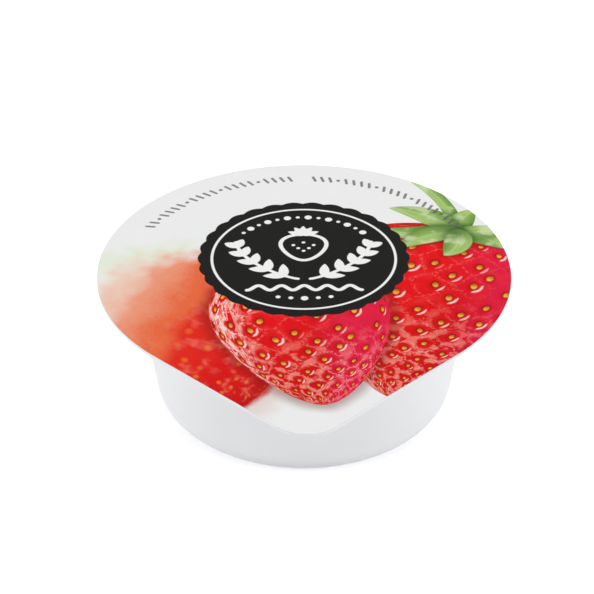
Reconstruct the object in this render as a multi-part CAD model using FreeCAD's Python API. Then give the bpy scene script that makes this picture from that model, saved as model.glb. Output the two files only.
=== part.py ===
import FreeCAD, Part
import math
import os

# A portion cup of jam, sealed and unopened: a round drafted cup, in one piece with a flat
# teardrop flange, and the foil that is sealed over the whole flange and cut with it in one die.
# Millimetres, +Z up. The origin is the point where the cup's axis meets the surface it stands on.
# The flange's lug, by which the foil is pulled off, points along -Y.
# The pack is shut, so the cup is solid under the foil.

os.makedirs("parts", exist_ok=True)

# ---- overall sizes ----
HEIGHT = 16.4            # from the standing ring to the top of the foil
RIM_RADIUS = 23.0        # cut edge of the round part of the flange
LUG_LENGTH = 7.4         # how far the lug's tip stands out past the rim's circle
LUG_TIP_RADIUS = 4.2     # round end of the lug

# ---- flange and foil ----
FOIL = 0.06              # thickness of the sealed lidding foil
FLANGE = 0.4             # thickness of the plastic flange under it
FLANGE_WIDTH = 4.15      # from the wall to the rim's cut edge, under the flange
FLANGE_EDGE_BREAK = 0.08 # bevel that the die leaves on the flange's lower edge
NECK_ROUND = 0.5         # from the wall into the flange's underside

# ---- wall and base ----
DRAFT = 9.0              # degrees from upright, so that empty cups nest
BASE_ROUND = 3.2         # from the wall into the standing ring
RING_WIDTH = 1.6         # flat part of the standing ring
PANEL_RISE = 0.55        # how far the middle of the base is pushed up inside the ring
PANEL_SLOPE = 45.0       # degrees from level, between the ring and the raised panel
PANEL_ROUND = 0.3        # from the standing ring into that slope

# ---- levels and radii that follow ----
SEAL_LEVEL = HEIGHT - FOIL
UNDERSIDE = SEAL_LEVEL - FLANGE
WALL_TOP_RADIUS = RIM_RADIUS - FLANGE_WIDTH
WALL_FOOT_RADIUS = WALL_TOP_RADIUS - UNDERSIDE * math.tan(math.radians(DRAFT))
TIP_DISTANCE = RIM_RADIUS + LUG_LENGTH - LUG_TIP_RADIUS


def corner(before, at, after, radius):
    """The two tangent points, and the middle, of the arc that rounds one corner of an outline."""
    back = (before - at).normalize()
    ahead = (after - at).normalize()
    half_angle = back.getAngle(ahead) / 2
    setback = radius / math.tan(half_angle)
    bisector = (back + ahead).normalize()
    middle = at + bisector * (radius / math.sin(half_angle) - radius)
    return at + back * setback, middle, at + ahead * setback


def rounded_wire(corners):
    """A closed outline of straight runs, from (point, radius) pairs. A radius of 0 stays sharp."""
    places = [place for place, radius in corners]
    turns = []
    for i, (place, radius) in enumerate(corners):
        after = places[(i + 1) % len(places)]
        turns.append(corner(places[i - 1], place, after, radius) if radius else (place, None, place))
    edges = []
    for i, (start, middle, end) in enumerate(turns):
        if middle is not None:
            edges.append(Part.Arc(start, middle, end).toShape())
        next_start = turns[(i + 1) % len(turns)][0]
        edges.append(Part.LineSegment(end, next_start).toShape())
    return Part.Wire(edges)


def half_section():
    """Half the bowl's section, in the XZ plane: panel, standing ring, drafted wall and neck."""
    draft = math.radians(DRAFT)
    ring_outer = WALL_FOOT_RADIUS - BASE_ROUND * math.tan(math.pi / 4 - draft / 2)
    ring_inner = ring_outer - RING_WIDTH
    panel_radius = ring_inner - PANEL_RISE / math.tan(math.radians(PANEL_SLOPE))
    outside_neck = WALL_TOP_RADIUS + 2 * NECK_ROUND
    corners = [
        (0, PANEL_RISE, 0),
        (panel_radius, PANEL_RISE, 0),
        (ring_inner, 0, PANEL_ROUND),
        (WALL_FOOT_RADIUS, 0, BASE_ROUND),
        (WALL_TOP_RADIUS, UNDERSIDE, NECK_ROUND),
        (outside_neck, UNDERSIDE, 0),
        (outside_neck, SEAL_LEVEL, 0),
        (0, SEAL_LEVEL, 0),
    ]
    return rounded_wire([(FreeCAD.Vector(x, 0, z), radius) for x, z, radius in corners])


def teardrop(level):
    """The die's outline at one level: the rim's arc, two tangents to it and the lug's round tip."""
    lean = math.acos((RIM_RADIUS - LUG_TIP_RADIUS) / TIP_DISTANCE)
    axis = FreeCAD.Vector(0, 0, level)
    tip = FreeCAD.Vector(0, -TIP_DISTANCE, level)
    right = FreeCAD.Vector(math.sin(lean), -math.cos(lean), 0)
    left = FreeCAD.Vector(-right.x, right.y, 0)
    rim_right, rim_left = axis + right * RIM_RADIUS, axis + left * RIM_RADIUS
    tip_right, tip_left = tip + right * LUG_TIP_RADIUS, tip + left * LUG_TIP_RADIUS
    rim_back = axis + FreeCAD.Vector(0, RIM_RADIUS, 0)
    tip_front = tip - FreeCAD.Vector(0, LUG_TIP_RADIUS, 0)
    return Part.Wire([
        Part.Arc(rim_right, rim_back, rim_left).toShape(),
        Part.LineSegment(rim_left, tip_left).toShape(),
        Part.Arc(tip_left, tip_front, tip_right).toShape(),
        Part.LineSegment(tip_right, rim_right).toShape(),
    ])


def sheet(bottom, top):
    """A flat sheet of the die's outline between two levels."""
    return Part.Face(teardrop(bottom)).extrude(FreeCAD.Vector(0, 0, top - bottom))


def edges_at(solid, level):
    """The edges that lie wholly in one level plane."""
    near = 1e-6
    return [
        edge for edge in solid.Edges
        if all(abs(vertex.Z - level) < near for vertex in edge.Vertexes)
    ]


def make_cup():
    """Bowl and flange, moulded in one piece up to the underside of the foil."""
    bowl = Part.Face(half_section()).revolve(FreeCAD.Vector(0, 0, 0), FreeCAD.Vector(0, 0, 1), 360)
    flange = sheet(UNDERSIDE, SEAL_LEVEL)
    flange = flange.makeChamfer(FLANGE_EDGE_BREAK, edges_at(flange, UNDERSIDE))
    return bowl.fuse(flange).removeSplitter()


def make_lid():
    """The foil, sealed flat on the flange and across the filled cup."""
    return sheet(SEAL_LEVEL, HEIGHT)


SUB_PARTS = {
    "cup": make_cup,
    "lid": make_lid,
}

for name, make in SUB_PARTS.items():
    shape = make()
    box = shape.optimalBoundingBox()
    print(f"{name}: {len(shape.Solids)} solid, valid {shape.isValid()}, {shape.Volume:.1f} mm3, "
          f"{box.XLength:.2f} x {box.YLength:.2f} x {box.ZLength:.2f} mm, {len(shape.Faces)} faces")
    shape.exportStep(os.path.join("parts", name + ".step"))
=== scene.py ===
# %% [markdown]
# # A shut portion cup of jam
#
# The object is a white plastic cup about 46 mm across with a flat teardrop flange, and a foil
# lid that is sealed over the whole flange. The cup and the foil come in as a fixed frame from
# the CAD model. Here they get their finishes: the cup keeps its CAD mesh and gets a moulded
# plastic, and the foil is made again as a fine surface that can carry a printed picture.

# %% Load the fixed frame
import math

import bpy
import numpy as np
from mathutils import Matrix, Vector


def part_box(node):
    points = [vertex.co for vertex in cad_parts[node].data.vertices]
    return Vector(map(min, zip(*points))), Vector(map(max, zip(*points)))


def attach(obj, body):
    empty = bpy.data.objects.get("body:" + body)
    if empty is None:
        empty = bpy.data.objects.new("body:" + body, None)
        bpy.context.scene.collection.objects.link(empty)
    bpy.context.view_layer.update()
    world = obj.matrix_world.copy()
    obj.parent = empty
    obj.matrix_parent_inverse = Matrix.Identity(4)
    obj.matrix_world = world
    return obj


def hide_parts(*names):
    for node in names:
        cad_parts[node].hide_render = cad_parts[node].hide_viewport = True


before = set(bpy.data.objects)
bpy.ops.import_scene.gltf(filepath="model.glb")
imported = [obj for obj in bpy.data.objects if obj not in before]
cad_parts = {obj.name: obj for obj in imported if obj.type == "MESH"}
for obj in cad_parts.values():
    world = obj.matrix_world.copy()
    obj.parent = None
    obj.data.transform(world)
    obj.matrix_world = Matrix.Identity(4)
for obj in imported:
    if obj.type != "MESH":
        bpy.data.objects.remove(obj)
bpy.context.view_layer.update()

MM = 0.001                         # one millimetre, in the scene's metres

lid_low, lid_high = (np.array(corner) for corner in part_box("lid"))
RIM = lid_high[0]                  # radius of the lid's round part
LID_TOP = lid_high[2]

# %% [markdown]
# ## The camera
#
# The cup is seen from in front of its lug and from above, from far enough away that its
# outlines hardly converge. The distance is counted in rim radii, because the frame gives the
# rim's size, and the lens is then chosen so that the rim fills the same part of the picture.
# The camera is aimed beside and above the object by its place, and not by a lens shift, so
# that views from other sides stay centred.

# %% Camera
ELEVATION = math.radians(33.6)     # how far the camera looks down
SWING = math.radians(0.5)          # how far the lug turns aside from the camera
DISTANCE = 12.0 * RIM              # along the view, to the middle of the lid
RIM_SHARE = 0.3481                 # rim radius as a share of the picture's width
AIM_RIGHT = -0.034 * RIM           # what the picture's middle shows, right of the lid's middle
AIM_UP = -0.129 * RIM              # and above it
SENSOR = 36                        # width of the film, mm

forward = np.array([0, math.cos(ELEVATION), -math.sin(ELEVATION)])
right = np.array([1.0, 0, 0])
up = np.array([0, math.sin(ELEVATION), math.cos(ELEVATION)])
standpoint = np.array([0, 0, LID_TOP]) + AIM_RIGHT * right + AIM_UP * up - DISTANCE * forward
turn = np.array([
    [math.cos(SWING), math.sin(SWING), 0],
    [-math.sin(SWING), math.cos(SWING), 0],
    [0, 0, 1],
])

camera_data = bpy.data.cameras.new("camera")
camera_data.sensor_width = SENSOR
camera_data.lens = SENSOR * RIM_SHARE * DISTANCE / RIM
camera_data.clip_start = 0.01
camera = bpy.data.objects.new("camera", camera_data)
camera.location = turn @ standpoint
camera.rotation_euler = (math.pi / 2 - ELEVATION, 0, -SWING)
bpy.context.collection.objects.link(camera)
bpy.context.scene.camera = camera
print(f"lens {camera_data.lens:.1f} mm, {DISTANCE:.3f} m from the lid")

# %% [markdown]
# ## Helpers for materials
#
# Colours are written as the hex values that a screen shows, so they have to be turned linear
# for the renderer. A shader is a graph of small nodes. One helper adds a node, sets it and
# fills its inputs, in order or by name, with numbers or with the outputs of earlier nodes.

# %% Colours and nodes
def linear(hex_colour):
    """A screen colour such as "#d5101a" as linear red, green, blue and an alpha of 1."""
    shares = np.array([int(hex_colour[i:i + 2], 16) for i in (1, 3, 5)]) / 255
    light = np.where(shares <= 0.04045, shares / 12.92, ((shares + 0.055) / 1.055) ** 2.4)
    return (*light.tolist(), 1.0)


def add(tree, kind, inputs=(), out=0, **settings):
    """One new shader node. inputs is a list, in order, or a dict by name, and out says which
    output comes back, by place or name, or None for the node itself."""
    node = tree.nodes.new("ShaderNode" + kind)
    for name, value in settings.items():
        setattr(node, name, value)
    sockets = [socket for socket in node.inputs if socket.enabled]
    pairs = zip(sockets, inputs)
    if isinstance(inputs, dict):
        pairs = [(next(s for s in sockets if s.name == key), v) for key, v in inputs.items()]
    for socket, value in pairs:
        if isinstance(value, bpy.types.NodeSocket):
            tree.links.new(value, socket)
        else:
            socket.default_value = value
    if out is None or not len(node.outputs):
        return node
    if isinstance(out, str):
        return next(s for s in node.outputs if s.enabled and s.name == out)
    return [s for s in node.outputs if s.enabled][out]


def new_material(name):
    """An empty material and its node tree."""
    material = bpy.data.materials.new(name)
    material.use_nodes = True
    material.node_tree.nodes.clear()
    return material, material.node_tree


print(f"mid grey #808080 is {linear('#808080')[0]:.3f} in linear light")

# %% [markdown]
# ## The white table
#
# A packshot stands on white that runs out of the picture. A white floor that is only lit turns
# grey, and more light would bleach the cup. So the floor is an ordinary matt white, and rays
# that come straight from the camera, or over a gloss, see enough glow added to it to reach
# white, and more of it further out, where the lamps no longer reach. The glow lights nothing,
# and the soft shadow under the cup stays.

# %% Floor
FLOOR_SIZE = 3.0
FLOOR_GLOW = 0.57                  # beside the cup
GLOW_GROWS = (0.15, 0.50)          # metres from the cup between which the glow grows to 1


def seen_directly(tree):
    """1 for rays from the camera, off a gloss or through glass, and 0 for spreading light."""
    seen = add(tree, "LightPath", out="Is Camera Ray")
    for ray in ("Is Glossy Ray", "Is Transmission Ray"):
        seen = add(tree, "Math", [seen, add(tree, "LightPath", out=ray)], operation="MAXIMUM")
    return seen


floor_mesh = bpy.data.meshes.new("floor")
half = FLOOR_SIZE / 2
floor_mesh.from_pydata(
    [(-half, -half, 0), (half, -half, 0), (half, half, 0), (-half, half, 0)],
    [], [(0, 1, 2, 3)],
)
floor = bpy.data.objects.new("floor", floor_mesh)
bpy.context.collection.objects.link(floor)

matt_table, tree = new_material("matt_white_table")
here = add(tree, "TexCoord", out="Object")
from_cup = add(tree, "VectorMath", [here], out="Value", operation="LENGTH")
grown = add(tree, "MapRange", [from_cup, *GLOW_GROWS, FLOOR_GLOW, 1.0])
strength = add(tree, "Math", [seen_directly(tree), grown], operation="MULTIPLY")
matt = add(tree, "BsdfDiffuse", {"Color": linear("#d4d5d8")})
glow = add(tree, "Emission", {"Color": linear("#ffffff"), "Strength": strength})
add(tree, "OutputMaterial", {"Surface": add(tree, "AddShader", [matt, glow])})
floor_mesh.materials.append(matt_table)
print(f"floor: {FLOOR_SIZE} m, glow {FLOOR_GLOW} beside the cup")

# %% [markdown]
# ## The light
#
# A white room fills the shadows evenly. Its light is weak, but what a ray from the camera or
# off a gloss sees of it is pure white. White packs are lit by large soft boxes, so that no
# hard highlight breaks the print. One hangs overhead and evens the foil. Two more stand to the
# left and the right and light the cup's wall from its sides, and a weaker one lights its back.
# That one faces the camera across the lid, so it is kept out of the gloss, where it would lay
# a veil on the ink.

# %% White room
ROOM_LIGHT = 0.44

world = bpy.data.worlds.new("studio")
bpy.context.scene.world = world
world.use_nodes = True
room = world.node_tree
room.nodes.clear()
strength = add(room, "MapRange", [seen_directly(room), 0.0, 1.0, ROOM_LIGHT, 1.0])
white = add(room, "Background", {"Color": linear("#ffffff"), "Strength": strength})
add(room, "OutputWorld", {"Surface": white})

bpy.context.scene.view_settings.view_transform = "Standard"
print(f"room light {ROOM_LIGHT}")

# %% Soft boxes
LAMPS = {
    "overhead": {"place": (0.0, 0.10, 0.90), "size": 0.80, "watts": 1.75},
    "left": {"place": (-0.90, -0.435, 0.36), "size": 0.60, "watts": 5.25},
    "right": {"place": (0.90, -0.435, 0.36), "size": 0.60, "watts": 5.6},
    "back": {"place": (0.0, 0.95, 0.30), "size": 0.60, "watts": 3.2},
}

for name, lamp in LAMPS.items():
    soft_box = bpy.data.lights.new(name, "AREA")
    soft_box.size = lamp["size"]
    soft_box.energy = lamp["watts"]
    holder = bpy.data.objects.new(name, soft_box)
    holder.location = lamp["place"]
    holder.visible_glossy = name != "back"
    towards = Vector(lamp["place"])
    holder.rotation_euler = towards.to_track_quat("Z", "Y").to_euler()
    bpy.context.collection.objects.link(holder)
    print(f"{name}: {lamp['watts']} W from {towards.length:.2f} m")

# %% [markdown]
# ## The cup
#
# The cup is pressed from white polypropylene, filled with chalk-white pigment. Light goes a
# little way into such plastic and comes out again, which softens the shade in the round of the
# base. Its skin copies a polished mould, so it is satin and not mirror bright, with the faint
# flow lines of the melt, which run up the wall. The CAD mesh has the right shape, so only its
# finish is made here. A plain white would do from afar, and the clouds and lines are what keep
# it from looking like paper close by.

# %% White polypropylene
CLOUD = 9 * MM                     # width of the faint clouds in the pigment
FLOW = 0.6 * MM                    # between flow lines, coarser than real ones, to show at all
FLOW_STRETCH = 0.12                # how slowly a flow line changes up the wall

white_plastic, tree = new_material("moulded_white_polypropylene")
here = add(tree, "TexCoord", out="Object")
cloud = add(tree, "TexNoise", {"Vector": here, "Scale": 1 / CLOUD, "Detail": 2.0})
tone = add(tree, "Mix", {
    "Factor": cloud, "A": linear("#f0f0f1"), "B": linear("#eaeaeb"),
}, data_type="RGBA")
lines = add(tree, "Mapping", {"Vector": here, "Scale": (1 / FLOW, 1 / FLOW, FLOW_STRETCH / FLOW)})
lines = add(tree, "TexNoise", {"Vector": lines, "Scale": 1.0, "Detail": 3.0})
plastic = add(tree, "BsdfPrincipled", {
    "Base Color": tone,
    "Roughness": add(tree, "MapRange", [lines, 0.3, 0.7, 0.34, 0.44]),
    "IOR": 1.49,
    "Specular IOR Level": 0.3,
    "Normal": add(tree, "Bump", {"Strength": 0.12, "Distance": 0.01 * MM, "Height": lines}),
    "Subsurface Weight": 0.25,
    "Subsurface Radius": (1.0, 1.0, 1.0),
    "Subsurface Scale": 0.8 * MM,
})
add(tree, "OutputMaterial", {"Surface": plastic})

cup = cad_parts["cup"]
cup.data.materials.clear()
cup.data.materials.append(white_plastic)
print(f"cup: {len(cup.data.polygons)} faces from the frame, new finish")

# %% [markdown]
# ## The foil
#
# The lid is a sheet of lacquered aluminium foil, cut together with the flange in one die. A
# picture in fine detail needs a surface with many points to hold its drawing, spread evenly.
# A fan of rings would crowd them in the middle, so a square grid is first bent into a disc,
# and each point is then moved out along its ray until the disc's edge is the teardrop.

# %% The outline as a radius in each direction
TIP = 4.2 * MM                     # round end of the lug
TIP_DISTANCE = -lid_low[1] - TIP
LEAN = math.acos((RIM - TIP) / TIP_DISTANCE)
TIP_CORNER = math.atan2(TIP * math.sin(LEAN), TIP_DISTANCE + TIP * math.cos(LEAN))


def outline_radius(angle):
    """Distance from the axis to the cut edge, by the angle away from the lug.

    Round the rim it is the rim's radius. Along the lug's straight sides it is that radius
    divided by the cosine of the angle still to go to where the side touches the rim. At the
    lug's round tip it is the far crossing of the ray with the tip's circle.
    """
    away = np.abs(angle)
    side = RIM / np.cos(np.clip(LEAN - away, 0, None))
    offset = TIP_DISTANCE * np.sin(away)
    tip = TIP_DISTANCE * np.cos(away) + np.sqrt(np.clip(TIP ** 2 - offset ** 2, 0, None))
    return np.where(away < TIP_CORNER, tip, side)


cad_edge = np.array([v.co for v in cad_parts["lid"].data.vertices])
cad_angle = np.arctan2(cad_edge[:, 0], -cad_edge[:, 1])
off = np.abs(np.hypot(cad_edge[:, 0], cad_edge[:, 1]) - outline_radius(cad_angle))
print(f"the outline formula leaves the CAD foil by at most {off.max() / MM:.3f} mm")

# %% The foil's surface
STEPS = 300                        # grid cells along each side: about one each 0.15 mm
RIPPLE = 0.004 * MM                # unevenness left by the sealing head
RIPPLE_LENGTH = (3.1 * MM, 3.7 * MM)

across, back = np.meshgrid(np.linspace(-1, 1, STEPS + 1), np.linspace(-1, 1, STEPS + 1))
disc_x = across * np.sqrt(1 - back ** 2 / 2)
disc_y = back * np.sqrt(1 - across ** 2 / 2)
angle = np.arctan2(disc_x, -disc_y)
radius = np.hypot(disc_x, disc_y) * outline_radius(angle)
x = radius * np.sin(angle)
y = -radius * np.cos(angle)
waves = np.sin(x / RIPPLE_LENGTH[0]) * np.sin(y / RIPPLE_LENGTH[1] + 1)
z = LID_TOP - RIPPLE * (1 + waves)
print(f"foil: {x.size} points, from {z.min() / MM:.3f} to {z.max() / MM:.3f} mm")

# %% [markdown]
# ## The printed picture
#
# The print is drawn the way a plate maker would think of it: each motif is a field, a number
# at every point of the foil that says how far inside the motif's edge the point lies, in
# millimetres. The fields are smooth, so they survive being stored at the grid's points, and
# the ink's edge, drawn later where a field passes nought, stays crisp between them. An image
# would be simpler, but it would be fixed in its detail and would have to come from a file.

# %% Places on the foil, in millimetres
on_foil = np.stack([x, y], -1) / MM
fields = {}
print("picture:", np.round(np.ptp(on_foil, axis=(0, 1)), 1).tolist(), "mm")

# %% [markdown]
# ## A strawberry in the round
#
# Besides its edge, a berry in the picture needs its skin's own coordinates, so that the seeds
# crowd towards its outline and its tip as they do on a round fruit. The berry is thought of as
# turned on a lathe, with a half width that is a formula of the way from shoulder to tip. Its
# edge is measured to evenly spaced points of that outline, because a shadow is drawn later by
# the same number well outside the berry, where a shortcut would show creases.

# %% The berry's outline
FULLNESS = 0.6                     # lower is fuller at the shoulder
BLUNTNESS = 0.58                   # lower is blunter at both ends
FINE_STEPS = 4000                  # along half the outline, to measure it
OUTLINE_POINTS = 160               # kept of those, evenly spaced


def berry_width(share, half_width):
    """Half the berry's width at a share of the way from shoulder to tip: the given one times
    sin(pi * share ** FULLNESS) ** BLUNTNESS."""
    return half_width * np.sin(np.pi * share ** FULLNESS).clip(0) ** BLUNTNESS


def berry_outline(length, half_width):
    """Evenly spaced points of half the outline, as distances along and across. The steps are
    first crowded towards the two round ends, by the fourth power of a sine."""
    share = np.sin(np.linspace(0, np.pi / 2, FINE_STEPS)) ** 4
    fine = np.stack([share * length, berry_width(share, half_width)], -1)
    walked = np.concatenate([[0], np.cumsum(np.hypot(*np.diff(fine, axis=0).T))])
    evenly = np.linspace(0, walked[-1], OUTLINE_POINTS)
    return np.stack([np.interp(evenly, walked, column) for column in fine.T], -1)


def distance_to(outline, places):
    """Distance of each place to an outline: to the nearer of the two straight pieces that meet
    at the outline's nearest point."""
    gaps = np.hypot(places[..., None, 0] - outline[:, 0], places[..., None, 1] - outline[:, 1])
    nearest = gaps.argmin(axis=-1)
    least = np.full(nearest.shape, np.inf)
    for step in (-1, 0):
        first = np.clip(nearest + step, 0, len(outline) - 2)
        start = outline[first]
        run = outline[first + 1] - start
        share = ((places - start) * run).sum(-1) / (run ** 2).sum(-1)
        foot = start + np.clip(share, 0, 1)[..., None] * run
        least = np.minimum(least, np.hypot(*np.moveaxis(places - foot, -1, 0)))
    return least


print(f"a berry is widest at {0.5 ** (1 / FULLNESS):.2f} of the way to its tip")

# %% The way over the skin
SKIN_STEPS = 400                   # along the berry, to add up the way
NARROWEST = 0.62                   # least width the pace goes by, of the half width


def skin_way(along, widths, slopes, half_width):
    """The skin's coordinate v at a share of the way along, for a berry of length 1. Its pace
    is that of the outline, times the half width, over the width there. Each two neighbouring
    paces are averaged, and the averages are added up."""
    pace = np.hypot(1, slopes) * half_width / np.maximum(widths, NARROWEST * half_width)
    skin = np.concatenate([[0], np.cumsum((pace[1:] + pace[:-1]) / 2)]) / (SKIN_STEPS - 1)
    return np.interp(along, np.linspace(0, 1, SKIN_STEPS), skin)


print(f"the way over the skin is added up in {SKIN_STEPS} steps")

# %% The berry's fields
LIGHT = np.array([-0.45, 0.50, 0.74])  # towards the picture's own lamp: left, back and up
STEEPEST = 2.5                     # most the outline's slope counts in the shading


def strawberry(shoulder, tip, half_width):
    """The fields of one berry that points from its shoulder to its tip.

    edge is how far inside the outline a point lies. Its place across the berry, as a share of
    the half width there, is the sine of its angle round the axis, and the skin's coordinate u
    is that angle times the half width. The one along it, v, grows faster where the berry is
    narrow, which keeps the seeds' cells square. light is the cosine between the skin and the
    lamp, turn is 0 where the skin faces the eye and 1 at the outline, aside is how far it
    faces right, and along runs from 0 at the shoulder to 1 at the tip.
    """
    shoulder, tip = np.array(shoulder), np.array(tip)
    length = np.hypot(*(tip - shoulder))
    down = (tip - shoulder) / length
    side = np.array([-down[1], down[0]])
    share = (on_foil - shoulder) @ down / length
    off_axis = (on_foil - shoulder) @ side
    along = share.clip(0, 1)
    width = berry_width(along, half_width)

    outline = berry_outline(length, half_width)
    gap = distance_to(outline, np.stack([share * length, np.abs(off_axis)], -1))
    inside = (share == along) & (np.abs(off_axis) < width)

    steps = np.linspace(0, 1, SKIN_STEPS)
    widths = berry_width(steps, half_width)
    slopes = np.gradient(widths, steps * length)

    sine = np.clip(off_axis / np.maximum(width, 1e-6), -1, 1)
    slope = np.interp(along, steps, slopes).clip(-STEEPEST, STEEPEST)
    size = np.hypot(1, slope)
    facing_right = (sine * side[0] - slope * down[0]) / size
    facing_back = (sine * side[1] - slope * down[1]) / size
    facing_up = np.sqrt(1 - sine ** 2) / size
    return {
        "edge": np.where(inside, gap, -gap),
        "u": np.arcsin(sine) * half_width,
        "v": skin_way(along, widths, slopes, half_width) * length,
        "light": facing_right * LIGHT[0] + facing_back * LIGHT[1] + facing_up * LIGHT[2],
        "turn": 1 - facing_up,
        "aside": facing_right,
        "along": along,
    }


print(f"the picture's lamp stands {math.degrees(math.asin(LIGHT[2])):.0f} degrees up")

# %% Three berries: one in front, one behind it, and one out of focus
berries = {
    "front": strawberry(shoulder=(-1.8, 0.0), tip=(2.0, -25.4), half_width=9.8),
    "behind": strawberry(shoulder=(17.8, 9.0), tip=(9.5, -24.6), half_width=13.4),
    "blurred": strawberry(shoulder=(-15.5, 3.0), tip=(-8.0, -27.5), half_width=12.5),
}
for name, berry in berries.items():
    kept = ("edge", "u", "v") if name == "blurred" else berry
    fields |= {f"{name}_{part}": berry[part] for part in kept}
    print(f"{name} berry: {100 * (berry['edge'] > 0).mean():.0f}% of the grid")

# %% [markdown]
# ## Leaves
#
# A berry's cap is a star of narrow pointed leaves round a stalk. A leaf is a bent spine with a
# width that swells and comes to a point. For each point of the foil the place on the spine is
# found from which it lies deepest inside the leaf. That gives the leaf's edge, and two more
# numbers, across and along, that its shading and its veins follow. Each leaf keeps fields of
# its own, so that the ones on top can be laid over the others with crisp edges.

# %% A leaf along a bent spine
SPINE_POINTS = 48
LEAF_FULLNESS = 0.7                # lower is fuller near the base


def leaf(base, bend, end, half_width, blunt=0.8):
    """How far inside a leaf each point lies, and its place across (-1 to 1) and along (0 to 1).

    The spine is the parabola from base to end that heads for bend. The half width is the given
    one times sin(pi * share ** LEAF_FULLNESS) ** blunt.
    """
    share = np.linspace(0, 1, SPINE_POINTS)[:, None]
    spine = (
        (1 - share) ** 2 * np.array(base)
        + 2 * share * (1 - share) * np.array(bend)
        + share ** 2 * np.array(end)
    )
    heading = np.gradient(spine, axis=0)
    widths = half_width * np.sin(np.pi * share[:, 0] ** LEAF_FULLNESS) ** blunt
    gaps = np.hypot(on_foil[..., None, 0] - spine[:, 0], on_foil[..., None, 1] - spine[:, 1])
    deepest = np.argmax(widths - gaps, axis=-1)
    width = widths[deepest]
    gap = on_foil - spine[deepest]
    ahead = heading[deepest]
    off_spine = (ahead[..., 0] * gap[..., 1] - ahead[..., 1] * gap[..., 0]) / np.hypot(
        ahead[..., 0], ahead[..., 1])
    across = np.clip(off_spine / np.maximum(width, 1e-3), -1, 1)
    return width - np.hypot(gap[..., 0], gap[..., 1]), across, share[deepest, 0]


print(f"a leaf is widest at {0.5 ** (1 / LEAF_FULLNESS):.2f} of its length")

# %% The leafy cap and its stalk
CAP = np.array([17.6, 8.0])        # where the leaves of the berry behind spring from
CAP_LEAVES = {
    # direction in degrees, length, half width, sideways bend
    "upper": (64, 5.2, 1.5, 1.0),
    "low_right": (-36, 6.2, 1.5, 1.2),
    "right": (8, 6.0, 1.4, -1.0),
    "upper_left": (146, 9.2, 1.7, -2.0),
    "left": (176, 9.0, 1.6, 1.5),
    "low_left": (207, 7.6, 1.6, -1.7),
    "low_middle": (250, 5.4, 1.6, 1.4),
}
STALK_BEND = CAP + np.array([-0.2, 6.4])
STALK_END = CAP + np.array([-4.4, 11.4])

leaves = {"stalk": leaf(CAP, STALK_BEND, STALK_END, half_width=0.85, blunt=0.12)}
for name, (direction, length, half_width, sway) in CAP_LEAVES.items():
    a = math.radians(direction)
    end = CAP + length * np.array([math.cos(a), math.sin(a)])
    bend = (CAP + end) / 2 + sway * np.array([-math.sin(a), math.cos(a)])
    leaves[name] = leaf(CAP, bend, end, half_width)
for name, parts in leaves.items():
    fields |= {f"{name}_{part}": values for part, values in zip(("edge", "across", "along"), parts)}
print("cap:", ", ".join(leaves))

# %% [markdown]
# ## The dark label and its ornament
#
# The middle of the lid carries a dark round label with a scalloped edge, as on home-made jam.
# It holds a white line ornament and no words: a ring, an arc of dots, two leafy sprigs with a
# small berry between them, and a waved line. A stroke is a field too: half its width less the
# distance to the nearest of many points along it. Only places near the label are measured, and
# the rest count as far off.

# %% Strokes and dots
LABEL = np.array([0.0, 2.6])       # the label's middle
LABEL_RADIUS = 11.9
FAR_OFF = 99.0

to_x, to_y = np.moveaxis(on_foil - LABEL, -1, 0)
from_label = np.hypot(to_x, to_y)
near_label = from_label < LABEL_RADIUS + 1


def strokes(points, half_width):
    """Half the stroke's width less the distance to the nearest of its points."""
    gaps = on_foil[near_label][:, None] - points
    nearest = np.full(near_label.shape, FAR_OFF)
    nearest[near_label] = np.hypot(gaps[..., 0], gaps[..., 1]).min(axis=1)
    return half_width - nearest


print(f"{near_label.sum()} of the foil's points lie near the label")

# %% The label, its ring and its arc of dots
SCALLOPS = 30
SCALLOP_DEPTH = 0.32
RING = 10.3                        # radius of the white ring
DOT_ARC = 8.6                      # radius of the arc that the dots lie on
DOT_TURNS = np.radians(np.arange(38, 143, 8))
DOT, SMALL_DOT = 0.42, 0.24        # their radii, by turns

lobes = np.abs(np.cos(np.arctan2(to_y, to_x) * SCALLOPS / 2)) * SCALLOP_DEPTH
fields["label"] = LABEL_RADIUS - SCALLOP_DEPTH + lobes - from_label
fields["from_ring"] = from_label - RING

dots = LABEL + DOT_ARC * np.stack([np.cos(DOT_TURNS), np.sin(DOT_TURNS)], -1)
fields["dots"] = strokes(dots[::2], DOT)
fields["small_dots"] = strokes(dots[1::2], SMALL_DOT)
print(f"label: {2 * LABEL_RADIUS:.1f} mm across, {SCALLOPS} scallops, {len(dots)} dots")

# %% Two mirrored sprigs
STEM_ROOT = (0.7, -4.3)            # from the label's middle
STEM_REACH = (7.0, 7.6)            # how far the stem then goes out and up
STEM_HALF = 0.22                   # half the stem's width
PAIRS = np.linspace(0.15, 0.91, 5) # where the pairs of leaves sit, as shares of the stem
LEAF_LENGTH = (2.4, 1.6)           # of the first pair and the last
LEAF_HALF = 0.56                   # half a leaf's width
LEAF_SPREAD = 44                   # degrees that a leaf leans away from the stem


def stem(share):
    """Points of the right-hand stem, from 0 at its root to 1 at its end. It goes out with the
    sine of 1.45 times the share, and up with the share to the power of 1.3."""
    out = STEM_ROOT[0] + STEM_REACH[0] * np.sin(share * 1.45)
    rise = STEM_ROOT[1] + STEM_REACH[1] * share ** 1.3
    return np.stack([out, rise], -1)


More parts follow.
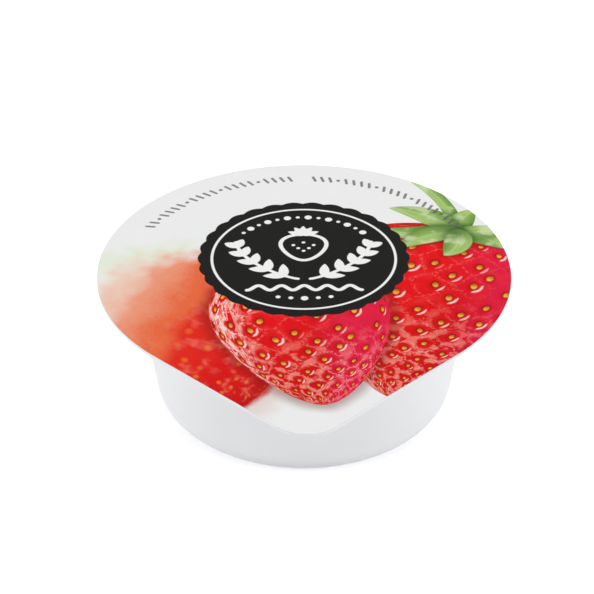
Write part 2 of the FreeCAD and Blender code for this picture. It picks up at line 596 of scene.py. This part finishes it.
sprigs = []
for mirror in (np.array([-1, 1]), np.array([1, 1])):
    sprigs.append(strokes(LABEL + mirror * stem(np.linspace(0, 1, 60)), STEM_HALF))
    for share, length in zip(PAIRS, np.linspace(*LEAF_LENGTH, len(PAIRS))):
        root = LABEL + mirror * stem(share)
        for lean in (-LEAF_SPREAD, LEAF_SPREAD):
            a = math.radians(38 + 34 * share + lean)  # the stem's own heading, and the lean
            end = root + mirror * length * np.array([math.cos(a), math.sin(a)])
            sprigs.append(leaf(root, (root + end) / 2, end, LEAF_HALF, blunt=0.9)[0])
fields["sprigs"] = np.max(sprigs, axis=0)
print(f"sprigs: {len(sprigs)} strokes and leaves")

# %% A small berry in outline between them
EMBLEM = LABEL + np.array([0, 2.2])
EMBLEM_HALF = (2.5, 2.7)           # half its width and half its height
EMBLEM_TAPER = 0.28                # how much wider it is above its middle than below
OUTLINE_HALF, PIP = 0.24, 0.22     # half the outline's width, and a seed's radius
CROWN = 2.6                        # from its middle up to where its leaves spring
CROWN_LEAF = (1.9, 0.42)           # a leaf's length and half width

bearing = np.linspace(0, 2 * np.pi, 160)
body = np.stack([
    EMBLEM_HALF[0] * np.sin(bearing) * (1 + EMBLEM_TAPER * np.cos(bearing)),
    EMBLEM_HALF[1] * np.cos(bearing),
], -1)
pips = np.array([(0, 1.0), (-1.15, 0.45), (1.15, 0.45), (0, -0.75), (-0.6, -0.2), (0.6, -0.2)])
emblem = [strokes(EMBLEM + body, OUTLINE_HALF), strokes(EMBLEM + pips, PIP)]
crown = EMBLEM + np.array([0, CROWN])
for a in np.radians([22, 58, 90, 122, 158]):
    end = crown + CROWN_LEAF[0] * np.array([math.cos(a), math.sin(a)])
    emblem.append(leaf(crown, (crown + end) / 2, end, CROWN_LEAF[1])[0])
fields["emblem"] = np.max(emblem, axis=0)
print(f"emblem: {len(pips)} seeds, {len(emblem) - 2} leaves")

# %% A waved line, and dots that shrink outwards below it
WAVE_HALF = 6.3                    # half its length
WAVE_LEVEL = -6.1                  # below the label's middle
WAVE_HEIGHT = 0.45
WAVES = 5
LINE_HALF, SIDE_DOT = 0.26, 0.28   # half the line's width, and the radius of the outer dots

way = np.linspace(-1, 1, 200)
swell = WAVE_LEVEL + WAVE_HEIGHT * np.cos(way * WAVES * np.pi)
wave = np.stack([WAVE_HALF * way, swell], -1)
middle_dot = np.array([(0, -8.2)])
side_dots = np.array([(-1.5, -8.1), (1.5, -8.1), (-2.9, -7.9), (2.9, -7.9)])
fields["wave"] = np.max([
    strokes(LABEL + wave, LINE_HALF),
    strokes(LABEL + middle_dot, DOT),
    strokes(LABEL + side_dots, SIDE_DOT),
], axis=0)
print(f"wave: {2 * WAVE_HALF:.1f} mm long")

# %% [markdown]
# ## A stitched border
#
# Along the back of the rim runs a border in two arcs, like a row of stitches: short slanting
# strokes with a dot after every fourth. It repeats, so one stroke is drawn in a frame that
# starts anew at each place along the arc. A place is either there or not, and no stitch is cut
# in half where an arc ends.

# %% The border along the back of the rim
BORDER_ARC = 19.8                  # its radius about the cup's axis
BORDER_PITCH = 0.95                # from one place to the next
BORDER_GAP = 0.06                  # half the gap at the very back, in radians
BORDER_END = 1.08                  # where the border ends on each side, in radians
STITCH = np.array([0.36, 0.93])    # a stitch's slant: along the arc and out
STITCH_REACH = 0.46                # from its middle to where its round ends start
STITCH_HALF = 0.17                 # half its width
DOT_EACH = 5                       # one place in so many holds a dot
BARE = -0.6                        # the field where there is no border, well outside

place = (np.arctan2(y, x) - np.pi / 2) * BORDER_ARC / BORDER_PITCH
along_arc = (place % 1 - 0.5) * BORDER_PITCH
outward = np.hypot(x, y) / MM - BORDER_ARC
reach = np.clip(along_arc * STITCH[0] + outward * STITCH[1], -STITCH_REACH, STITCH_REACH)
stitch = STITCH_HALF - np.hypot(along_arc - reach * STITCH[0], outward - reach * STITCH[1])
dot = SMALL_DOT - np.hypot(along_arc, outward)
border = np.where(np.floor(place) % DOT_EACH == 0, dot, stitch)
from_back = np.abs(np.floor(place) + 0.5) * BORDER_PITCH / BORDER_ARC
there = (from_back > BORDER_GAP) & (from_back < BORDER_END)
fields["border"] = np.where(there, border, BARE)
print(f"{len(fields)} fields:", ", ".join(fields))

# %% [markdown]
# ## Making the foil's mesh
#
# The top grid, a narrow skirt round the cut edge and a flat underside make one closed sheet, as
# thick as the real foil. Its two rims are marked sharp, or smooth shading would round them.
# The fields go in as one number per point, each under its own name.

# %% Points and faces
side_count = STEPS + 1
grid = np.arange(side_count ** 2).reshape(side_count, side_count)
quads = np.stack([grid[:-1, :-1], grid[:-1, 1:], grid[1:, 1:], grid[1:, :-1]], -1).reshape(-1, 4)
rim = np.concatenate([grid[0, :-1], grid[:-1, -1], grid[-1, :0:-1], grid[:0:-1, 0]])
low = grid.size + np.arange(rim.size)
after = np.roll(np.arange(rim.size), -1)
skirt = np.stack([rim, low, low[after], rim[after]], -1)
hub = grid.size + rim.size
fan = np.stack([low, np.full(rim.size, hub), low[after]], -1)

top_points = np.stack([x, y, z], -1).reshape(-1, 3)
low_points = np.column_stack([top_points[rim][:, :2], np.full(rim.size, lid_low[2])])
points = np.vstack([top_points, low_points, [[0, 0, lid_low[2]]]])

foil_mesh = bpy.data.meshes.new("foil_lid")
foil_mesh.from_pydata(points, [], quads.tolist() + skirt.tolist() + fan.tolist())
foil_mesh.polygons.foreach_set("use_smooth", np.ones(len(foil_mesh.polygons), bool))
print(f"foil: {len(points)} points, {len(foil_mesh.polygons)} faces")

# %% Rims marked sharp, and stored fields
on_rim = np.zeros(len(points), bool)
on_rim[rim] = True
on_low = np.zeros(len(points), bool)
on_low[low] = True

ends = np.empty(len(foil_mesh.edges) * 2, int)
foil_mesh.edges.foreach_get("vertices", ends)
ends = ends.reshape(-1, 2)
sharp = on_rim[ends].all(1) | on_low[ends].all(1)
foil_mesh.edges.foreach_set("use_edge_sharp", sharp)

for name, values in fields.items():
    stored = np.zeros(len(points))
    stored[:grid.size] = values.reshape(-1)
    foil_mesh.attributes.new(name, "FLOAT", "POINT").data.foreach_set("value", stored)
print(f"{sharp.sum()} sharp edges, {len(fields)} fields stored")

# %% [markdown]
# ## A flat map of the foil
#
# When the model is exported, its ink is baked into a square picture through the UV map named
# OFBake. Left to itself the computer would give the printed top and the hidden underside the
# same room. Here the top lies on the map at nearly its full width, so the print stays sharp.
# The cut edge is a narrow band round it, and the underside is small, in a free corner.

# %% The foil's flat map
MAP_SIDE = 56 * MM                 # what the side of the square stands for
MAP_MIDDLE = np.array([0, -3.7]) * MM
BAND_INNER, BAND_OUTER = 1.012, 1.030  # the cut edge's band, as shares of the outline
UNDERSIDE_SHARE = 0.19             # how small the underside lies on the map
UNDERSIDE_CORNER = np.array([-21.4, -24.6]) * MM

corner_point = np.empty(len(foil_mesh.loops), int)
foil_mesh.loops.foreach_get("vertex_index", corner_point)
region = np.repeat(["top", "edge", "under"], [quads.size, skirt.size, fan.size])
band = np.where(on_low[corner_point], BAND_OUTER, BAND_INNER)
scale = np.select([region == "edge", region == "under"], [band, UNDERSIDE_SHARE], 1.0)
shift = np.where(region[:, None] == "under", UNDERSIDE_CORNER, 0)
uv = 0.5 + (points[corner_point, :2] * scale[:, None] + shift - MAP_MIDDLE) / MAP_SIDE
foil_mesh.uv_layers.new(name="OFBake").uv.foreach_set("vector", uv.astype(np.float32).ravel())
print(f"map: from {uv.min():.3f} to {uv.max():.3f} of the square")

# %% The foil joins the frame
foil = bpy.data.objects.new("foil_lid", foil_mesh)
bpy.context.collection.objects.link(foil)
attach(foil, "root")
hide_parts("lid")
print("foil_lid stands for the frame's lid")

# %% [markdown]
# ## The ink
#
# Offset ink is a film of a few thousandths of a millimetre. It brings colour and no relief, so
# the whole print can be one shader that lays colours over each other through masks. They go
# down in a printer's order: the soft fruit, the two sharp berries, the leaves, the black label
# with its white ornament, and the grey border last. A mask is a number put through an S curve.
# Over a tenth of a millimetre round nought it is the crisp edge of an ink, and over a longer
# way it is a shade. Each mask is given where its curve starts and ends, in millimetres for a
# distance and as a plain number for a noise, a light or a share.

# %% Masks and layers
EDGE = 0.05                        # half the soft width of an ink's edge, mm

printed, tree = new_material("printed_lacquered_foil")


def mask(value, start=-EDGE, end=EDGE, most=1.0):
    """An S curve from 0 to most as a value goes from start to end. The value is a node's output
    or the name of one of the foil's fields."""
    if isinstance(value, str):
        value = add(tree, "Attribute", out="Fac", attribute_name=value)
    return add(tree, "MapRange", [value, start, end, 0.0, most], interpolation_type="SMOOTHSTEP")


def lay(under, colour, *masks):
    """A colour laid over what is under it, through all of the masks at once."""
    through = masks[0]
    for another in masks[1:]:
        through = add(tree, "Math", [through, another], operation="MULTIPLY")
    under, colour = (linear(c) if isinstance(c, str) else c for c in (under, colour))
    return add(tree, "Mix", {"Factor": through, "A": under, "B": colour}, data_type="RGBA")


def count(drawn):
    """Print how many nodes the ink has so far."""
    print(f"{drawn}: {len(tree.nodes)} nodes so far")


# %% [markdown]
# ## The skin of the sharp berries
#
# Both sharp berries are drawn by one set of nodes. It reads the fields of the front berry where
# that lies, and elsewhere those of the one behind it. The seeds are a Voronoi pattern in the
# skin's own millimetres, one to a cell. Real seeds lie in slanting rows, so the cells' square
# grid is turned by 45 degrees and only half loosened. For the paler flesh between the hollows
# the same cells are drawn once more on a slightly wavy skin, which breaks their straight walls.

# %% The skin's own coordinates
is_front = add(tree, "Attribute", out="Fac", attribute_name="front_edge")
is_front = add(tree, "Math", [is_front, 0.0], operation="GREATER_THAN")


def of_berry(part):
    """A field of the front berry where it lies, and elsewhere of the one behind it."""
    behind, front = (
        add(tree, "Attribute", out="Fac", attribute_name=f"{berry}_{part}")
        for berry in ("behind", "front")
    )
    return add(tree, "Mix", [is_front, behind, front])


def wavered(skin, pace, reach):
    """The skin's places moved about by a noise, by up to about half the reach each way."""
    sway = add(tree, "TexNoise", {"Vector": skin, "Scale": pace, "Detail": 2.0}, out="Color")
    sway = add(tree, "VectorMath", [sway, (0.5, 0.5, 0.5)], operation="SUBTRACT")
    sway = add(tree, "VectorMath", [sway, (reach, reach, 0.0)], operation="MULTIPLY")
    return add(tree, "VectorMath", [skin, sway], operation="ADD")


u, v, light, turned, aside, down = (
    of_berry(part) for part in ("u", "v", "light", "turn", "aside", "along")
)
skin = add(tree, "CombineXYZ", [u, v, 0.0])
blotch = add(tree, "TexNoise", {"Vector": skin, "Scale": 0.5, "Detail": 3.0})
count("skin coordinates")

# %% Where the seeds lie
SEED_PITCH = 3.7                   # from one seed to the next, mm
LOOSENESS = 0.5                    # 0 keeps the seeds on their grid
HOLLOW = (0.98, 1.22)              # half the width and length of the dip round a seed, mm


def seed_cells(skin, pitch, looseness):
    """The cells round the seeds: the way from the nearest seed (x across and y along the berry,
    mm), the distance to the cell's wall (mm), and the cell's random numbers."""
    diagonal = add(tree, "VectorRotate", {"Vector": skin, "Angle": math.radians(45)},
                   rotation_type="Z_AXIS")
    cell = {"Vector": diagonal, "Scale": 1 / pitch, "Randomness": looseness}
    seed = add(tree, "TexVoronoi", cell, out="Position", voronoi_dimensions="2D")
    random = add(tree, "TexVoronoi", cell, out="Color", voronoi_dimensions="2D")
    wall = add(tree, "TexVoronoi", cell, out="Distance", voronoi_dimensions="2D",
               feature="DISTANCE_TO_EDGE")
    wall = add(tree, "Math", [wall, pitch], operation="MULTIPLY")
    from_seed = add(tree, "VectorMath", [diagonal, seed], operation="SUBTRACT")
    from_seed = add(tree, "VectorRotate", {"Vector": from_seed, "Angle": math.radians(-45)},
                    rotation_type="Z_AXIS")
    return from_seed, wall, add(tree, "SeparateXYZ", [random], out=None).outputs


def oval(from_seed, half_across, half_along, shift=(0.0, 0.0)):
    """Distance from the middle of an oval, which is 1 on the oval itself."""
    moved = add(tree, "VectorMath", [from_seed, (*shift, 0.0)], operation="SUBTRACT")
    scaled = add(tree, "VectorMath", [moved, (1 / half_across, 1 / half_along, 0)],
                 operation="MULTIPLY")
    return add(tree, "VectorMath", [scaled], out="Value", operation="LENGTH")


from_seed, _, randoms = seed_cells(skin, SEED_PITCH, LOOSENESS)
chance, luck = randoms[0], randoms[1]
wavy_from_seed, wall, _ = seed_cells(wavered(skin, 0.9, 0.9), SEED_PITCH, LOOSENESS)
hollow = oval(wavy_from_seed, *HOLLOW)
count(f"seeds {SEED_PITCH} mm apart")

# %% [markdown]
# ## Flesh
#
# A ripe strawberry is red all through, and glossy. Its skin dips round every seed, and the
# ridges between the dips catch the light: as soft pale patches low on the berry, as a thin
# bright net, and as long broken streaks down its lit flank. The other flank is in rosy shade.
# All of it is colour here, because it is a picture of a berry and lies flat on the foil.

# %% Red flesh, rosy on the far flank
rosy = mask(aside, 0.0, 0.6, 0.85)
red = lay("#c4060c", "#e30a12", mask(light, 0.1, 0.9))
red = lay(red, "#df1a45", rosy)
red = lay(red, "#ea2b34", mask(blotch, 0.45, 0.68, 0.4))
count("red flesh")

# %% Paler flesh between the hollows
pale = lay("#ef8f7d", "#e96a84", rosy)
where = add(tree, "Math", [mask(down, 0.4, 0.78, 0.8), mask(aside, -0.3, -0.8)],
            operation="MAXIMUM")
red = lay(red, pale, mask(hollow, 1.0, 1.5), where, mask(blotch, 0.44, 0.58), 0.85)
red = lay(red, "#f09a98", mask(light, 0.94, 1.0), mask(hollow, 0.95, 1.5),
          mask(blotch, 0.4, 0.55), 0.55)
count("paler flesh")

# %% A thin bright net where the cells meet
where = add(tree, "Math", [mask(aside, -0.3, -0.8, 0.9), mask(down, 0.4, 0.78, 0.4)],
            operation="MAXIMUM")
where = add(tree, "Math", [where, mask(light, 0.1, 0.9, 0.12)], operation="MAXIMUM")
broken = add(tree, "TexNoise", {"Vector": skin, "Scale": 2.6, "Detail": 3.0})
red = lay(red, "#f9c9bb", mask(wall, 0.34, 0.05), where, mask(broken, 0.44, 0.6))
count("bright net")

# %% Streaks of light down the lit flank
drawn_out = add(tree, "VectorMath", [skin, (1.5, 0.5, 0.0)], operation="MULTIPLY")
streak = add(tree, "TexNoise", {"Vector": drawn_out, "Scale": 0.8, "Detail": 3.0})
red = lay(red, "#fbe0d6", mask(streak, 0.47, 0.53), mask(streak, 0.62, 0.55),
          mask(aside, -0.55, -0.9), mask(hollow, 0.75, 1.05), 0.9)
count("streaks")

# %% [markdown]
# ## Seeds
#
# Each seed is a straw-yellow grain in a dark bed of its own. The deep red hollow round it lies
# a little off the seed, to the left and towards the tip, and many hollows hold a wet glint on
# their right. The cell's random numbers tilt and size the seed, and choose how brown it is and
# how long its glint is. Where the skin turns away at the outline a real seed shows only its
# edge, so there the ink of seeds and glints fades out.

# %% The hollow and the seed's bed
DEEP_RED = (0.88, 1.08)            # half the width and length of the hollow's middle, mm
BED = (0.46, 0.64)                 # and of the bed

tilt = add(tree, "MapRange", [chance, 0.0, 1.0, -0.6, 0.25])
tilted = add(tree, "VectorRotate", {"Vector": from_seed, "Angle": tilt}, rotation_type="Z_AXIS")
red = lay(red, "#c8070c", mask(oval(from_seed, *DEEP_RED, shift=(-0.14, 0.18)), 1.2, 0.45, 0.85))
red = lay(red, "#7e0f07", mask(oval(tilted, *BED, shift=(-0.05, -0.08)), 1.4, 0.9, 0.75))
count("hollows and beds")

# %% The seed
SEED = (0.36, 0.52)                # half its width and length, mm

flat_on = mask(turned, 0.82, 0.66)
grain_side = add(tree, "SeparateXYZ", [tilted], out=1)
straw = lay("#b25a10", "#e39a2c", mask(grain_side, -0.40, 0.1))
straw = lay(straw, "#f0bf56", mask(grain_side, 0.0, 0.4, 0.8))
straw = lay(straw, "#cf8220", mask(luck, 0.5, 1.0, 0.5))
shrunk = add(tree, "MapRange", [luck, 0.0, 1.0, 0.9, 1.12])
seed = add(tree, "Math", [oval(tilted, *SEED), shrunk], operation="MULTIPLY")
red = lay(red, straw, mask(seed, 1.2, 0.8), flat_on)
count("seeds")

# %% The glint
CRESCENT = (0.92, 1.10)            # half the width and length of the oval it lies on, mm

from_crescent = add(tree, "Math", [oval(from_seed, *CRESCENT), 1.0], operation="SUBTRACT")
from_crescent = add(tree, "Math", [from_crescent], operation="ABSOLUTE")
facing = add(tree, "VectorMath", [from_seed, (0.72, 0.5, 0.0)], out="Value",
             operation="DOT_PRODUCT")
shortest = add(tree, "MapRange", [luck, 0.0, 1.0, 0.42, 0.78])
longest = add(tree, "Math", [shortest, 0.16], operation="ADD")
red = lay(red, "#fbd3cf", mask(from_crescent, 0.26, 0.06), mask(facing, shortest, longest),
          mask(chance, 0.2, 0.5), flat_on, 0.95)
count("glints")

# %% [markdown]
# ## The soft fruit on the left
#
# A lens blurs what lies behind its subject. The third berry starts as a pale mist on the left
# and comes into focus, redder and with hints of seeds, towards the sharp ones. One number, the
# depth, carries all of that: the way across the lid from left to right, in millimetres, made
# uneven by a slow noise. A row of colours is laid along it, and the berry's outline wanders
# widely where it is mist and grows firm where the fruit comes near.

# %% How near the soft fruit is
LEFT_TO_RIGHT = (0.93, -0.36, 0.0) # the way along which it comes near

here = add(tree, "TexCoord", out="Object")
here_mm = add(tree, "VectorMath", [here, (1 / MM, 1 / MM, 0)], operation="MULTIPLY")
drift = add(tree, "TexNoise", {"Vector": here_mm, "Scale": 0.22, "Detail": 3.0})
cloud = add(tree, "TexNoise", {"Vector": here_mm, "Scale": 0.45, "Detail": 2.0})
depth = add(tree, "VectorMath", [here_mm, LEFT_TO_RIGHT], out="Value", operation="DOT_PRODUCT")
uneven = add(tree, "Math", [drift, 6.0], operation="MULTIPLY")
depth = add(tree, "Math", [depth, uneven], operation="ADD")
in_focus = mask(depth, -8.0, 0.0)
count("depth")

# %% From mist to red
MIST = "#ece7dd"
STOPS = [(-18.5, -14.5, "#ebc9b7"), (-14.5, -11.0, "#ea9474"), (-11.0, -7.0, "#e5683f"),
         (-7.0, -3.5, "#df2419"), (-3.5, 3.0, "#d20c10")]

haze = MIST
for start, end, colour in STOPS:
    haze = lay(haze, colour, mask(depth, start, end))
haze = lay(haze, "#f0aa92", mask(cloud, 0.5, 0.68, 0.14))
speckle = add(tree, "TexNoise", {"Vector": here_mm, "Scale": 3.2, "Detail": 2.0})
haze = lay(haze, "#c8402c", mask(speckle, 0.5, 0.7), mask(depth, -13.0, -8.0), 0.22)
count(f"{len(STOPS)} colours along the depth")

# %% Its soft seeds, net and shaded underside
SOFT_PITCH = 3.3                   # from one soft seed to the next, mm
SOFT_LOOSENESS = 0.8
SOFT_SEED = (0.44, 0.60)           # half its width and length, mm

soft_u, soft_v = (
    add(tree, "Attribute", out="Fac", attribute_name=f"blurred_{part}") for part in ("u", "v")
)
soft_skin = add(tree, "CombineXYZ", [soft_u, soft_v, 0.0])
from_soft_seed, _, soft_randoms = seed_cells(soft_skin, SOFT_PITCH, SOFT_LOOSENESS)
_, soft_wall, _ = seed_cells(wavered(soft_skin, 0.45, 2.4), SOFT_PITCH, SOFT_LOOSENESS)
haze = lay(haze, "#a90d0c", mask("blurred_edge", 3.6, 0.4), in_focus, 0.65)
haze = lay(haze, "#e98a30", mask(oval(from_soft_seed, *SOFT_SEED), 1.5, 0.3, 0.6), in_focus,
           mask(soft_randoms[0], 0.2, 0.5))
haze = lay(haze, "#f0705c", mask(soft_wall, 0.6, 0.0), in_focus, mask(cloud, 0.46, 0.62), 0.5)
count("soft fruit")

# %% White lacquer, a green breath of leaves, and the soft fruit
paint = lay("#ebeceb", "#e9eae9", mask(drift, 0.35, 0.7, 0.5))

wander = add(tree, "MapRange", [depth, -9.0, -2.0, 5.0, 1.6])
wander = add(tree, "Math", [cloud, wander], operation="MULTIPLY")
soft_edge = add(tree, "Attribute", out="Fac", attribute_name="blurred_edge")
soft_edge = add(tree, "Math", [soft_edge, wander], operation="ADD")
up_the_lid = add(tree, "SeparateXYZ", [here_mm], out=1)
paint = lay(paint, "#dfe8cc", mask(soft_edge, -1.5, 1.5), mask(drift, 0.35, 0.55),
            mask(up_the_lid, -3.0, 2.0), 0.7)
paint = lay(paint, "#cf9c90", mask(soft_edge, -2.6, 0.6), mask(depth, -6.0, -1.0), 0.35)
firmness = add(tree, "MapRange", [depth, -9.0, -2.0, 5.5, 1.5])
paint = lay(paint, haze, mask(soft_edge, 0.4, firmness))
count("lacquer and soft fruit")

# %% The berry behind, the front one's shadow on it, and the front one
paint = lay(paint, red, mask("behind_edge"))
shadow = add(tree, "Attribute", out="Fac", attribute_name="front_edge")
blur = add(tree, "Math", [drift, 0.8], operation="MULTIPLY")
shadow = add(tree, "Math", [shadow, blur], operation="ADD")
paint = lay(paint, "#7c1110", mask(shadow, -1.4, 0.5, 0.55))
paint = lay(paint, red, mask("front_edge"))
count("three berries")

# %% [markdown]
# ## Leaf green
#
# A cap leaf is lighter on one half than on the other, dark at its root, where the leaves crowd
# together, and bleached towards its point. It has a pale rib, soft veins along it and a dusty
# bloom. The leaves are laid one by one, so that each can throw a soft shadow on what is already
# there: brown-red where it falls on the berry and deep green on another leaf.

# %% One leaf's colour
bloom = add(tree, "TexNoise", {"Vector": here_mm, "Scale": 0.4, "Detail": 2.0})


def leaf_green(name, tone):
    """The ink of one leaf. tone is a number of its own, so that no two have the same veins."""
    across, along = (
        add(tree, "Attribute", out="Fac", attribute_name=f"{name}_{part}")
        for part in ("across", "along")
    )
    from_rib = add(tree, "Math", [across], operation="ABSOLUTE")
    blade = add(tree, "CombineXYZ", [across, along, tone])
    blade = add(tree, "VectorMath", [blade, (5.0, 2.5, 1.0)], operation="MULTIPLY")
    veins = add(tree, "TexNoise", {"Vector": blade, "Scale": 1.0, "Detail": 3.0})
    green = lay("#6f9444", "#a9c774", mask(across, -0.9, 0.5))
    green = lay(green, "#84a957", mask(veins, 0.4, 0.6, 0.4))
    green = lay(green, "#cfdcae", mask(bloom, 0.5, 0.66, 0.7))
    green = lay(green, "#cadaa4", mask(from_rib, 0.14, 0.03, 0.4))
    green = lay(green, "#3d6528", mask(along, 0.45, 0.0, 0.85))
    green = lay(green, "#c3d79a", mask(along, 0.7, 1.0, 0.5))
    return lay(green, "#5a8439", mask(f"{name}_edge", 0.22, 0.0, 0.35))


count("bloom")

# %% The leaves, each over its own shadow
on_berry = mask("behind_edge")
on_leaf = 0.0
for number, name in enumerate(leaves):
    falls = add(tree, "Math", [on_berry, on_leaf], operation="MAXIMUM")
    shade = lay("#6a0f0a", "#2f5523", on_leaf)
    paint = lay(paint, shade, mask(f"{name}_edge", -0.9, 0.1), falls, 0.5)
    inside = mask(f"{name}_edge")
    paint = lay(paint, leaf_green(name, 7.3 * number), inside)
    on_leaf = add(tree, "Math", [on_leaf, inside], operation="MAXIMUM")
count(f"{len(leaves)} leaves")

# %% Black label, white ornament, grey border
BLACK = "#171716"
WHITE = "#efefed"
RING_HALF = 0.15                   # half the white ring's width, mm

from_ring = add(tree, "Attribute", out="Fac", attribute_name="from_ring")
from_ring = add(tree, "Math", [from_ring], operation="ABSOLUTE")
paint = lay(paint, BLACK, mask("label"))
paint = lay(paint, WHITE, mask(from_ring, RING_HALF + EDGE, RING_HALF - EDGE))
for name in ("dots", "small_dots", "sprigs", "emblem", "wave"):
    paint = lay(paint, WHITE, mask(name))
paint = lay(paint, "#5f5f5f", mask("border", most=0.85))
count("label, ornament and border")

# %% [markdown]
# ## Varnish over the ink
#
# The foil is aluminium under white lacquer, printed and then sealed with a matt varnish. The
# varnish is a clear resin with an IOR of 1.5. Its fine silica breaks up the mirror image, so
# the eye sees a broad faint sheen in place of a reflection. The specular level is set low,
# because the lacquer's black stays deep from every side. The roller leaves the coat slightly
# uneven, about half a millimetre from crest to crest.

# %% Printed, lacquered foil
uneven = add(tree, "TexNoise", {"Vector": here_mm, "Scale": 2.2, "Detail": 2.0})
varnished = add(tree, "BsdfPrincipled", {
    "Base Color": paint,
    "Roughness": add(tree, "MapRange", [uneven, 0.3, 0.7, 0.46, 0.56]),
    "IOR": 1.5,
    "Specular IOR Level": 0.035,
    "Normal": add(tree, "Bump", {"Strength": 0.1, "Distance": 0.01 * MM, "Height": uneven}),
})
add(tree, "OutputMaterial", {"Surface": varnished})
count("varnish")

# %% [markdown]
# ## The foil's bare side
#
# Where the die cuts the sheet the aluminium shows as a bright hairline round the lid, and the
# side that is sealed to the cup is bare metal too. Rolling leaves fine lines one way along
# the sheet, which stretch its highlights across them. They run from left to right here, and a
# noise drawn out along them is enough, since no single line can be told apart.

# %% Rolled aluminium foil
ROLLING = 0.12 * MM                # between lines, coarser than the real hundredth, to show
LINE_STRETCH = 0.05                # how slowly a line changes along its way

bare_foil, tree = new_material("rolled_aluminium_foil")
here = add(tree, "TexCoord", out="Object")
lines = add(tree, "Mapping", {"Vector": here, "Scale": (LINE_STRETCH / ROLLING, 1 / ROLLING, 1)})
lines = add(tree, "TexNoise", {"Vector": lines, "Scale": 1.0, "Detail": 2.0})
metal = add(tree, "BsdfPrincipled", {
    "Base Color": lay("#d3d4d6", "#c4c5c8", lines),
    "Metallic": 1.0,
    "Roughness": add(tree, "MapRange", [lines, 0.3, 0.7, 0.28, 0.42]),
    "Normal": add(tree, "Bump", {"Strength": 0.1, "Distance": 0.004 * MM, "Height": lines}),
})
add(tree, "OutputMaterial", {"Surface": metal})
print(f"bare foil: a rolling line each {ROLLING / MM:.2f} mm")

# %% The print on top, bare metal elsewhere
foil_mesh.materials.append(printed)
foil_mesh.materials.append(bare_foil)
finish = np.repeat([0, 1], [len(quads), len(skirt) + len(fan)])
foil_mesh.polygons.foreach_set("material_index", finish)
print(f"{len(quads)} printed faces, {len(skirt) + len(fan)} bare ones")
